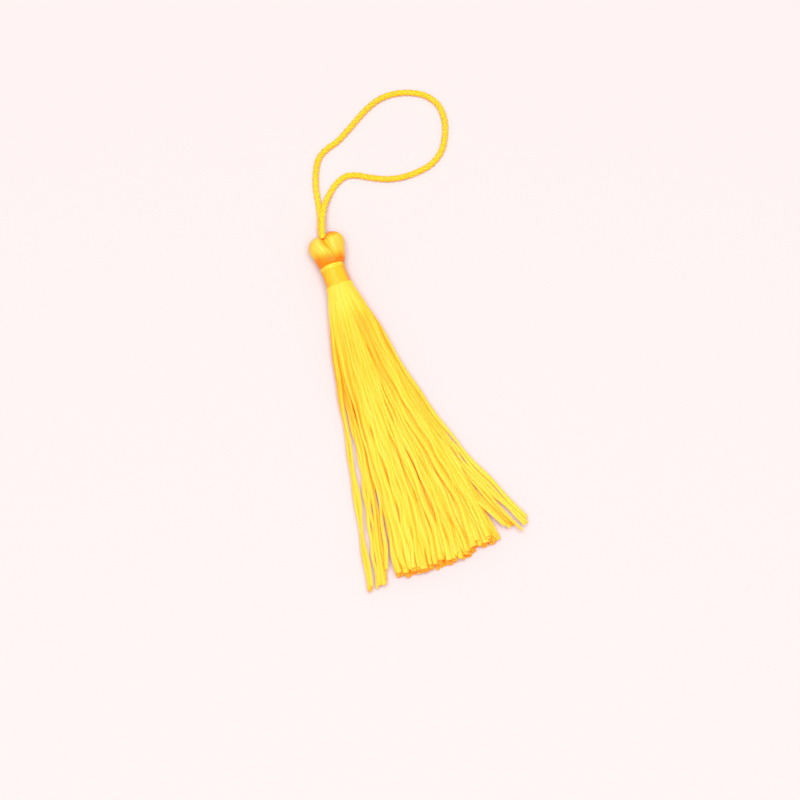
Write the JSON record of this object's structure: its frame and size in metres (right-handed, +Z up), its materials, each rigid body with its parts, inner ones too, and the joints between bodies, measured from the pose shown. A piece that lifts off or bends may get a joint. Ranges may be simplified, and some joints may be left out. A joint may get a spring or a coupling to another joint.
{
  "type": "tassel",
  "caption": "Yarn tassel with a lobed head, a thread-wound neck, a fanned skirt of cut strands and a hanging loop of twisted cord.",
  "frame": {"origin": "the middle of the head's small flat underside, on the surface that the tassel lies on", "axes": "+Z up from that surface; +Y along the tassel, from the skirt's tips towards the head and the hanging loop; +X to the right seen from above"},
  "size_m": [0.0543, 0.1073, 0.0072],
  "materials": {
    "yarn": "golden yellow silky rayon yarn with a soft sheen",
    "binding_thread": "golden yellow satin thread wound in close turns",
    "cord": "golden yellow silky three-ply twisted cord"
  },
  "bodies": {
    "root": {"folded_yarn": "yarn", "neck_binding": "binding_thread", "hanging_cord": "cord"}
  },
  "joints": []
}
